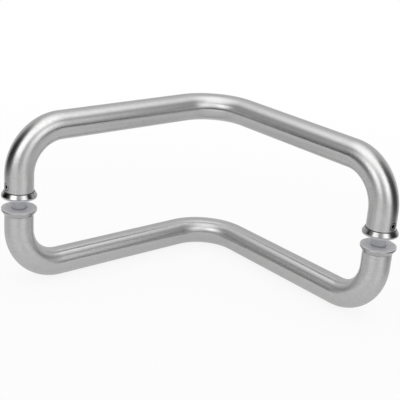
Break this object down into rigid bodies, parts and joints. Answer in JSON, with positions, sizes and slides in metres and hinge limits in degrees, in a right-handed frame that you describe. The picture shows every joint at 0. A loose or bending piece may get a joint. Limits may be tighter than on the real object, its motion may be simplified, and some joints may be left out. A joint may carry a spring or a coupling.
{
  "type": "door pull handle",
  "caption": "Back-to-back pair of V-bent tubular pull handles in brushed stainless steel, clamped through the holes of a glass door.",
  "frame": {"origin": "middle of the glass thickness, midway between the two feet of a handle", "axes": "+X along the line of the feet, +Y towards the apex of the V, +Z along the studs towards the handle with the set screws"},
  "size_m": [0.3355, 0.1633, 0.1516],
  "materials": {
    "brushed_tube": "satin brushed",
    "polished_collar": "polished",
    "fixing_steel": "machined",
    "set_screw_steel": "machined",
    "clear_gasket": "clear",
    "clear_sleeve": "clear"
  },
  "bodies": {
    "root": {"upper_tube": "brushed_tube", "lower_tube": "brushed_tube", "upper_collar_left": "polished_collar", "upper_gasket_left": "clear_gasket", "upper_insert_left": "fixing_steel", "lower_collar_left": "polished_collar", "lower_gasket_left": "clear_gasket", "lower_insert_left": "fixing_steel", "post_left": "fixing_steel", "stud_left": "fixing_steel", "sleeve_left": "clear_sleeve", "set_screw_left": "set_screw_steel", "upper_collar_right": "polished_collar", "upper_gasket_right": "clear_gasket", "upper_insert_right": "fixing_steel", "lower_collar_right": "polished_collar", "lower_gasket_right": "clear_gasket", "lower_insert_right": "fixing_steel", "post_right": "fixing_steel", "stud_right": "fixing_steel", "sleeve_right": "clear_sleeve", "set_screw_right": "set_screw_steel"}
  },
  "joints": []
}
